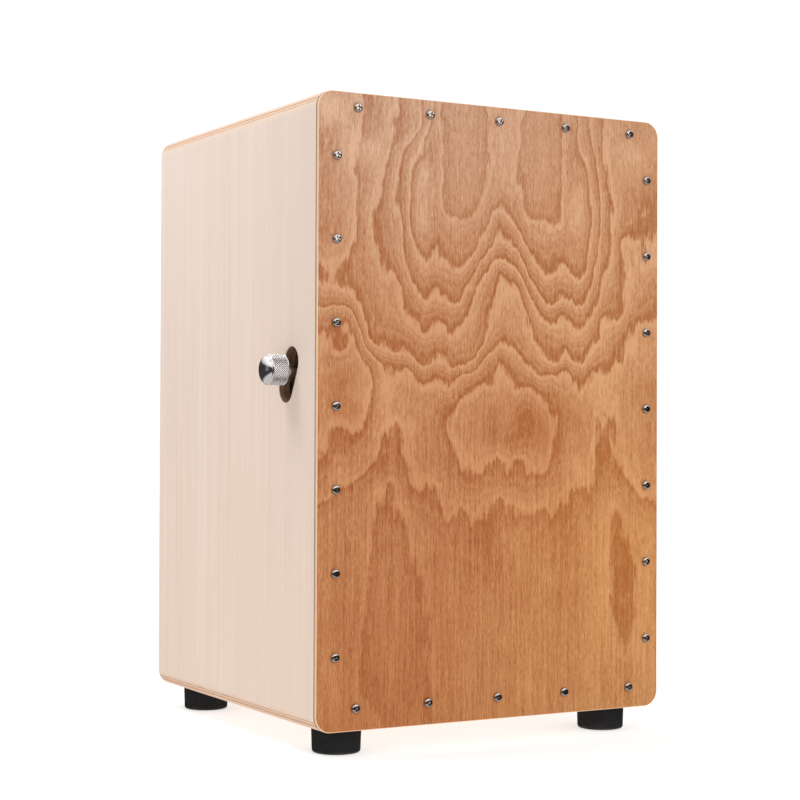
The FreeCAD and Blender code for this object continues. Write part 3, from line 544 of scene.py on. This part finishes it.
def birch_ply(name, node, axis, outward, along, layers, face=(233, 214, 200), tint_and_painted_light=None):
    """A board whose outer face looks along axis. The grain of its faces runs along the
    axis `along`; its edges show the layers, by depth under the outer face."""
    g = Graph(name)
    p = g.mm()
    xyz = g.xyz(p)
    lo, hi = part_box(node)
    outer = 1000 * (hi[axis] if outward > 0 else lo[axis])
    thick = layers[-1][0]
    depth = g.mul(g.sub(xyz[axis], outer), -outward)

    def stretch(across, length):
        s = [across] * 3
        s[along] = length
        s[axis] = across * 0.15
        return g.scaled(p, tuple(s))

    broad = g.noise(stretch(0.045, 0.0025), detail=2, rough=0.5)
    band = g.noise(stretch(0.28, 0.0035), detail=3, rough=0.6)
    line = g.noise(stretch(1.1, 0.010), detail=3, rough=0.65)
    hair = g.noise(stretch(3.2, 0.10), detail=2, rough=0.6)
    cloud = g.noise(g.scaled(p, (0.011, 0.011, 0.008)), detail=2)
    t = g.add(0.5, g.mul(g.sub(band, 0.5), 0.85))
    t = g.add(t, g.mul(g.sub(line, 0.5), 0.75))
    t = g.add(t, g.mul(g.sub(hair, 0.5), 0.35))
    t = g.add(t, g.mul(g.sub(broad, 0.5), 0.5))
    low = tuple(max(0, c - d) for c, d in zip(face, (19, 26, 31)))
    high = tuple(min(255, c + d) for c, d in zip(face, (9, 12, 14)))
    skin = g.mix(t, srgb(*low), srgb(*high))
    skin = g.mix(g.mul(cloud, 0.35), skin, srgb(face[0] + 1, face[1] - 5, face[2] - 8))
    if tint_and_painted_light is not None:
        skin = tint_and_painted_light(g, xyz, skin)
    # edge: long grain in some layers, pores and open end grain in the others
    grit = g.noise(g.scaled(p, (0.9, 0.9, 0.9)), detail=4, rough=0.7)
    run = g.noise(g.scaled(p, tuple(0.07 if a != axis else 2.2 for a in range(3))), detail=3, rough=0.6)
    wave = g.mul(g.sub(g.noise(g.scaled(p, (0.05, 0.05, 0.05)), detail=2), 0.5), 0.5)
    d = g.math("DIVIDE", g.add(depth, g.add(wave, g.mul(g.sub(run, 0.5), 0.5))), thick)
    stops = []
    for i, (at, c) in enumerate(layers):
        c = srgb(*c)
        if i:
            stops.append((max(0, at - 0.06) / thick, stops[-1][1]))
        stops.append((min(1, (at + 0.06) / thick) if i else 0.0, c))
    core = g.ramp(d, stops)
    core = g.mix(g.mul(g.span(grit, 0.52, 0.75), 0.35), core, srgb(168, 124, 92))
    core = g.mix(g.mul(g.span(run, 0.45, 0.8), 0.30), core, srgb(214, 176, 144))
    if name == "ply_side_left":
        # painted shade: the plies exposed inside the lever slot are darkened towards a deep brown, standing in for the
        # slot's shadow
        slot_shade = g.mul(g.mul(g.span(xyz[1], -140, -132), g.span(xyz[1], -74, -82)),
                     g.mul(g.span(xyz[2], 236, 244), g.span(xyz[2], 316, 308)))
        core = g.mix(g.mul(slot_shade, 0.72), core, srgb(88, 56, 38))
    # the veneer's own thickness keeps the face colour
    inner = g.sub(thick, depth)
    near = g.math("MINIMUM", depth, inner)
    colour = g.mix(g.span(near, 0.10, 0.30), skin, core)
    height = g.add(g.mul(line, 0.5), g.mul(hair, 0.5))
    height = g.mix(g.span(near, 0.10, 0.30), height, g.add(g.mul(grit, 2.0), g.mul(run, 1.0)))
    return g.set(Base_Color=colour, Roughness=g.add(0.42, g.mul(g.sub(line, 0.5), 0.2)),
                 Specular_IOR_Level=0.25, Coat_Weight=0.06, Coat_Roughness=0.30,
                 Normal=g.bump(height, 0.03))


def side_tone_and_painted_light(g, xyz, skin):
    """The side faces: a painted shade darkens them next to the front, they turn a little greyer towards the top and
    warmer and lighter at the foot, and a painted light makes them paler at the rear top.
    """
    # painted shade: darker towards the front edge, more so higher up
    front = g.math("MULTIPLY", g.span(xyz[1], -40, -150), g.span(xyz[2], 60, 477, 0.30, 0.80))
    skin = g.mix(front, skin, srgb(218, 197, 183))
    skin = g.mix(g.span(xyz[2], 150, 477, 0.0, 0.35), skin, srgb(222, 207, 197))
    foot = g.span(xyz[2], 260, 19)
    skin = g.mix(g.mul(foot, 0.30), skin, srgb(236, 214, 194))
    # painted light: paler towards the rear top
    rear_top_painted_light = g.math("MULTIPLY", g.span(xyz[1], -20, 150), g.span(xyz[2], 200, 477))
    return g.mix(g.mul(rear_top_painted_light, 0.30), skin, srgb(238, 224, 215))


# the side panels carry a painted shade at the front and a painted light at the rear top
paint(birch_ply("ply_side_left", "left_side_panel", 0, -1, 2, PLY_8, tint_and_painted_light=side_tone_and_painted_light), "left_side_panel")
paint(birch_ply("ply_side_right", "right_side_panel", 0, 1, 2, PLY_8, tint_and_painted_light=side_tone_and_painted_light), "right_side_panel")
paint(birch_ply("ply_top", "top_panel", 2, 1, 0, PLY_8, face=(234, 214, 196)), "top_panel")
paint(birch_ply("ply_bottom", "bottom_panel", 2, -1, 0, PLY_8, face=(230, 208, 188)), "bottom_panel")
paint(birch_ply("ply_back", "back_panel", 1, 1, 2, PLY_6, face=(232, 211, 194)), "back_panel")


# ---------------------------------------------------------------- solid wood inside
def softwood(name, along, pale=(226, 192, 148), dark=(190, 140, 92)):
    g = Graph(name)
    p = g.mm()
    s = [1.0, 1.0, 1.0]
    s[along] = 0.02
    lined = g.scaled(p, tuple(s))
    warp = g.mul(g.noise(g.scaled(lined, (0.12, 0.12, 0.12)), detail=2), 5.0)
    x, y, z = g.xyz(lined)
    a, b = [v for i, v in enumerate((x, y, z)) if i != along]
    ring = g.math("FRACT", g.add(g.mul(g.add(a, g.mul(b, 0.35)), 0.42), warp))
    tone = g.ramp(ring, [(0, 0.9), (0.55, 0.62), (0.85, 0.12), (0.97, 0.05), (1, 0.85)])
    hair = g.noise(g.scaled(lined, (3.0, 3.0, 3.0)), detail=3, rough=0.7)
    t = g.add(g.mul(tone, 0.7), g.mul(hair, 0.45))
    colour = g.mix(t, srgb(*dark), srgb(*pale))
    return g.set(Base_Color=colour, Roughness=g.add(0.6, g.mul(g.sub(hair, 0.5), 0.2)),
                 Specular_IOR_Level=0.3, Normal=g.bump(g.add(g.mul(tone, 0.5), hair), 0.06))


pine_x, pine_z = softwood("pine_along_x", 0), softwood("pine_along_z", 2)
paint(pine_z, "front_batten_left", "front_batten_right", "rear_cleat_left", "rear_cleat_right")
paint(pine_x, "front_batten_top", "front_batten_bottom", "rear_cleat_top", "rear_cleat_bottom")
paint(softwood("pine_along_y", 1), "corner_glue_strips")
paint(softwood("beech_bar", 0, pale=(214, 170, 128), dark=(182, 130, 90)), "snare_bar")
paint(softwood("beech_block", 2, pale=(214, 172, 130), dark=(180, 130, 92)),
      "bearing_block_left", "bearing_block_right")


# ---------------------------------------------------------------- rubber, plastic, metals
def rubber():
    g = Graph("black_rubber")
    p = g.mm()
    fine = g.noise(g.scaled(p, (2.2, 2.2, 2.2)), detail=3, rough=0.6)
    mould = g.noise(g.scaled(p, (0.09, 0.09, 0.3)), detail=2)
    z = g.xyz(p)[2]
    dust = g.mul(g.span(z, 7, 0), g.span(mould, 0.42, 0.7))
    colour = g.mix(mould, srgb(13, 12, 13), srgb(30, 28, 29))
    colour = g.mix(g.mul(dust, 0.35), colour, srgb(70, 66, 62))
    return g.set(Base_Color=colour, Roughness=g.add(0.50, g.mul(g.sub(fine, 0.5), 0.3)),
                 Specular_IOR_Level=0.35, Normal=g.bump(fine, 0.08))


def metal(name, tint, rough, scratch=0.1, along=None, grime=0.0, bump_mm=0.006):
    g = Graph(name)
    p = g.mm()
    s = [2.5, 2.5, 2.5]
    if along is not None:
        s = [0.15 if i == along else 4.0 for i in range(3)]
    fine = g.noise(g.scaled(p, tuple(s)), detail=3, rough=0.7)
    cloud = g.noise(g.scaled(p, (0.25, 0.25, 0.25)), detail=3)
    colour = g.mix(cloud, srgb(*[c * 0.93 for c in tint]), srgb(*[min(255, c * 1.03) for c in tint]))
    if grime:
        colour = g.mix(g.mul(g.span(fine, 0.5, 0.75), grime), colour, srgb(60, 54, 50))
    return g.set(Base_Color=colour, Metallic=1.0,
                 Roughness=g.add(rough, g.mul(g.sub(fine, 0.5), scratch)),
                 Normal=g.bump(fine, bump_mm))


def nylon():
    g = Graph("white_nylon")
    p = g.mm()
    fine = g.noise(g.scaled(p, (1.5, 1.5, 1.5)), detail=3)
    colour = g.mix(fine, srgb(214, 210, 200), srgb(232, 229, 222))
    return g.set(Base_Color=colour, Roughness=g.add(0.38, g.mul(g.sub(fine, 0.5), 0.2)),
                 Subsurface_Weight=0.1, Subsurface_Radius=(0.004, 0.003, 0.002),
                 Normal=g.bump(fine, 0.02))


chrome = metal("chrome", (222, 222, 224), 0.07, scratch=0.06, bump_mm=0.002)
def knurled_chrome():
    """Chrome with a painted highlight that lifts the knurled band near to white and a painted shade in the bottom of
    the knurling.
    """
    g = Graph("knurled_chrome")
    p = g.mm()
    x, y, z = g.xyz(p)
    lo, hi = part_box("knurled_knob")
    cy, cz = 500 * (lo[1] + hi[1]), 500 * (lo[2] + hi[2])
    r = g.math("SQRT", g.add(g.math("POWER", g.sub(y, cy), 2.0), g.math("POWER", g.sub(z, cz), 2.0)))
    big = 500 * (hi[1] - lo[1])
    back = 1000 * hi[0]
    along = g.sub(back, x)
    end = 1000 * (hi[0] - lo[0]) - 5.45
    band = g.mul(g.span(along, 0.9, 1.15), g.span(along, end, end - 0.2))
    valley_shade = g.mul(g.span(r, big - 0.20, big - 0.52), band)
    fine = g.noise(g.scaled(p, (2.5, 2.5, 2.5)), detail=3, rough=0.7)
    colour = g.mix(fine, srgb(214, 213, 215), srgb(236, 235, 236))
    # painted highlight: the knurled band is lifted near to white
    colour = g.mix(band, g.mix(fine, srgb(196, 192, 192), srgb(226, 224, 225)), srgb(246, 245, 246))
    # painted shade: the bottom of the knurling is darkened
    colour = g.mix(g.mul(valley_shade, 0.60), colour, srgb(96, 90, 88))
    return g.set(Base_Color=colour, Metallic=1.0,
                 Roughness=g.add(g.add(0.06, g.mul(g.sub(fine, 0.5), 0.05)), g.mul(band, 0.16)),
                 Normal=g.bump(fine, 0.002))


zinc = metal("zinc_steel", (176, 178, 182), 0.34, scratch=0.22, grime=0.15, bump_mm=0.01)
drawn = metal("drawn_steel", (188, 188, 190), 0.24, scratch=0.2, along=0)
paint(rubber(), "foot_front_left", "foot_front_right", "foot_rear_left", "foot_rear_right")
# the screws get a darker, browner copy of the chrome: a painted shade and a painted reflection of the wood
paint(metal("screw_chrome_painted_shade", (178, 167, 160), 0.09, scratch=0.08, grime=0.22, bump_mm=0.003),
      "front_plate_screws", "back_panel_screws")
paint(chrome, "knob_collar")
paint(zinc, "foot_washers", "foot_screws", "bearing_block_screws", "lever_arm_left", "swing_arm_right",
      "arm_set_screws", "snare_bar_screws", "snare_tab_left", "snare_tab_right", "snare_tab_screws",
      "stud_nut")
paint(drawn, "axle_rod", "lever_stud")
paint(nylon(), "pivot_bush_left", "pivot_bush_right", "friction_washer_left", "friction_washer_right")
for cad_node in NODES.values():
    smooth(cad_node, 32)


# ---------------------------------------------------------------- knurled knob
def lathe(profile, x_of, centre, around):
    """Points of a profile of (distance along the axis, radius) turned round an X axis."""
    cy, cz = centre
    verts, faces = [], []
    for s, r in profile:
        for k in range(around):
            a = 2 * math.pi * k / around
            rr = r(a, s) if callable(r) else r
            verts.append((x_of(s), cy + rr * math.cos(a), cz + rr * math.sin(a)))
    n = len(profile)
    for j in range(n - 1):
        for k in range(around):
            l = (k + 1) % around
            faces.append((j * around + k, (j + 1) * around + k, (j + 1) * around + l, j * around + l))
    return verts, faces


def knob():
    """The knob: a bored back face, a band of diamond knurling and a shallow domed end."""
    lo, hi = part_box("knurled_knob")
    lo, hi = np.array(lo) * 1000, np.array(hi) * 1000
    cy, cz = (lo[1] + hi[1]) / 2, (lo[2] + hi[2]) / 2
    back, tip, big = hi[0], lo[0], (hi[1] - lo[1]) / 2
    reach = back - tip - 4.5
    around, starts = 312, 39
    depth = 0.60
    band_0, band_1 = 0.95, reach - 0.95

    def knurl(a, s):
        pitch = 2 * math.pi * big / starts
        u, v = a / (2 * math.pi) * starts, s / pitch
        tri = lambda q: abs((q % 1.0) * 2 - 1)
        h = min(tri(u + v), tri(u - v))
        edge = min(1.0, min(s - band_0, band_1 - s) / 0.25)
        return big - depth * (1 - min(1.0, h * 1.35)) * max(0.0, edge)

    prof = [(reach - 1.35, 0.02), (reach - 1.35, 3.05), (0.35, 3.05), (0.0, 3.4), (0.0, big - 1.2), (0.12, big - 0.8),
            (0.5, big - 0.3), (band_0 - 0.05, big)]
    prof += [(band_0 + (band_1 - band_0) * i / 72, knurl) for i in range(73)]
    length = back - tip
    dome_0 = reach
    prof += [(band_1 + 0.1, big), (reach - 0.7, big - 0.05), (reach - 0.45, big - 0.25), (reach - 0.2, big - 0.55),
             (dome_0, big - 0.9)]
    rim = big - 0.9
    rise = length - dome_0
    for i in range(1, 19):
        a = math.pi / 2 * i / 18
        prof.append((dome_0 + rise * math.sin(a) ** 1.15, rim * math.cos(a) if i < 18 else 0.02))
    verts, faces = lathe(prof, lambda s: back - s, (cy, cz), around)
    obj = piece("knurled_knob_turned", np.array(verts) / 1000, faces, knurled_chrome(), ["knurled_knob"],
                "knob", 40)
    return obj


knob()


# ---------------------------------------------------------------- snare wires
def wires(node):
    """Ten coiled strands where the design has ten plain rods."""
    co = np.empty(len(NODES[node].data.vertices) * 3)
    NODES[node].data.vertices.foreach_get("co", co)
    co = co.reshape(-1, 3) * 1000
    order = np.sort(co[:, 0])
    gaps = np.nonzero(np.diff(order) > 2.0)[0]
    cuts = [order[0] - 1] + [(order[i] + order[i + 1]) / 2 for i in gaps] + [order[-1] + 1]
    verts, faces = [], []
    strand, sides, per_turn, pitch = 0.24, 4, 8, 1.55
    for x0, x1 in zip(cuts, cuts[1:]):
        q = co[(co[:, 0] > x0) & (co[:, 0] < x1)]
        mid = q.mean(0)
        axis = np.linalg.svd(q - mid, full_matrices=False)[2][0]
        axis *= np.sign(axis[2])
        s = (q - mid) @ axis
        start, length = mid + axis * s.min(), s.max() - s.min()
        ex = np.cross(axis, (1.0, 0, 0))
        ex /= np.linalg.norm(ex)
        ey = np.cross(axis, ex)
        n = int(length / pitch * per_turn)
        r_coil = 0.7 - strand
        base = len(verts)
        for i in range(n + 1):
            a = 2 * math.pi * i / per_turn
            t = strand + (length - 2 * strand) * i / n
            out = ex * math.cos(a) + ey * math.sin(a)
            centre = start + axis * t + out * r_coil
            for k in range(sides):
                b = 2 * math.pi * (k + 0.5) / sides
                verts.append(centre + strand * (out * math.cos(b) + axis * math.sin(b)))
        for i in range(n):
            for k in range(sides):
                l = (k + 1) % sides
                a, b = base + i * sides, base + (i + 1) * sides
                faces.append((a + k, a + l, b + l, b + k))
        faces.append(tuple(base + k for k in range(sides))[::-1])
        faces.append(tuple(base + n * sides + k for k in range(sides)))
    piece(node + "_coiled", np.array(verts) / 1000, faces, drawn, [node], "snare_frame", 60)


wires("snare_wires_left")
wires("snare_wires_right")


# ---------------------------------------------------------------- floor, light, camera
scene = bpy.context.scene
scene.view_settings.view_transform = "Standard"
scene.view_settings.look = "None"


def floor():
    bpy.ops.mesh.primitive_circle_add(vertices=96, radius=40, fill_type="NGON", location=(0, 0, -0.0004))
    o = bpy.context.object
    o.name = "floor"
    g = Graph("white_floor")
    p = g.mm()
    soft = g.noise(g.scaled(p, (0.004, 0.004, 0.004)), detail=2)
    g.set(Base_Color=g.mix(soft, (0.60, 0.60, 0.60), (0.62, 0.62, 0.62)), Roughness=1.0,
          Specular_IOR_Level=0.0, Emission_Color=(1, 1, 1), Emission_Strength=0.62)
    o.data.materials.append(g.mat)
    o.visible_glossy = False
    return o


def world():
    """White to the eye and to matt surfaces. Polished metal sees a studio: a pale floor,
    a dark room and a bright ceiling."""
    w = bpy.data.worlds.new("studio")
    scene.world = w
    w.use_nodes = True
    t = w.node_tree
    t.nodes.clear()
    out = t.nodes.new("ShaderNodeOutputWorld")
    bg = t.nodes.new("ShaderNodeBackground")
    t.links.new(bg.outputs[0], out.inputs[0])
    co = t.nodes.new("ShaderNodeTexCoord")
    sep = t.nodes.new("ShaderNodeSeparateXYZ")
    t.links.new(co.outputs["Generated"], sep.inputs[0])
    ramp = t.nodes.new("ShaderNodeValToRGB")
    half = t.nodes.new("ShaderNodeMath")
    half.operation = "MULTIPLY_ADD"
    t.links.new(sep.outputs[2], half.inputs[0])
    half.inputs[1].default_value, half.inputs[2].default_value = 0.5, 0.5
    t.links.new(half.outputs[0], ramp.inputs[0])
    el = ramp.color_ramp.elements
    el[0].position, el[0].color = 0.0, (0.75, 0.75, 0.75, 1)
    el[1].position, el[1].color = 1.0, (0.9, 0.9, 0.9, 1)
    for at, c in ((0.27, 0.80), (0.35, 0.06), (0.61, 0.05), (0.68, 1.0), (0.81, 1.6), (0.93, 1.2)):
        e = el.new(at)
        e.color = (c, c, c, 1)
    path = t.nodes.new("ShaderNodeLightPath")
    mix = t.nodes.new("ShaderNodeMix")
    mix.data_type = "RGBA"
    t.links.new(path.outputs["Is Glossy Ray"], mix.inputs[0])
    mix.inputs[6].default_value = (WORLD, WORLD, WORLD, 1)
    t.links.new(ramp.outputs[0], mix.inputs[7])
    mix2 = t.nodes.new("ShaderNodeMix")
    mix2.data_type = "RGBA"
    t.links.new(path.outputs["Is Camera Ray"], mix2.inputs[0])
    t.links.new(mix.outputs[2], mix2.inputs[6])
    mix2.inputs[7].default_value = (1.05, 1.05, 1.05, 1)
    t.links.new(mix2.outputs[2], bg.inputs[0])


def area(name, at, aim, size, watts, colour=(1, 1, 1), spread=180):
    d = bpy.data.lights.new(name, "AREA")
    d.shape, d.size, d.size_y = "RECTANGLE", size[0], size[1]
    d.energy, d.color, d.spread = watts, colour, math.radians(spread)
    o = bpy.data.objects.new(name, d)
    scene.collection.objects.link(o)
    o.location = at
    from mathutils import Vector
    o.rotation_euler = (Vector(aim) - Vector(at)).to_track_quat("-Z", "Y").to_euler()
    return o


WORLD = 0.66
floor()
world()
area("key_over_left", (-0.75, 0.25, 1.55), (-0.10, -0.10, 0.26), (0.5, 0.5), 9.0)
area("front_fill", (0.55, -1.9, 0.95), (0.02, -0.15, 0.26), (1.2, 1.0), 8.0)
area("left_fill", (-2.0, 0.2, 0.7), (-0.15, 0.0, 0.26), (1.2, 1.2), 0.8)


def camera():
    from mathutils import Matrix, Vector
    yaw, pitch, roll = (math.radians(a) for a in (29.304, 0.761, 0.227))
    fwd = Vector((math.sin(yaw) * math.cos(pitch), math.cos(yaw) * math.cos(pitch), math.sin(pitch)))
    right = Vector((math.cos(yaw), -math.sin(yaw), 0))
    up = right.cross(fwd)
    r = math.cos(roll) * right + math.sin(roll) * up
    u = -math.sin(roll) * right + math.cos(roll) * up
    d = bpy.data.cameras.new("camera")
    d.lens, d.sensor_width, d.clip_start, d.clip_end = 83.99, 36, 0.01, 200
    o = bpy.data.objects.new("camera", d)
    scene.collection.objects.link(o)
    m = Matrix((r, u, -fwd)).transposed().to_4x4()
    m.translation = Vector((-0.74598, -1.33200, 0.23839))
    o.matrix_world = m
    scene.camera = o


camera()
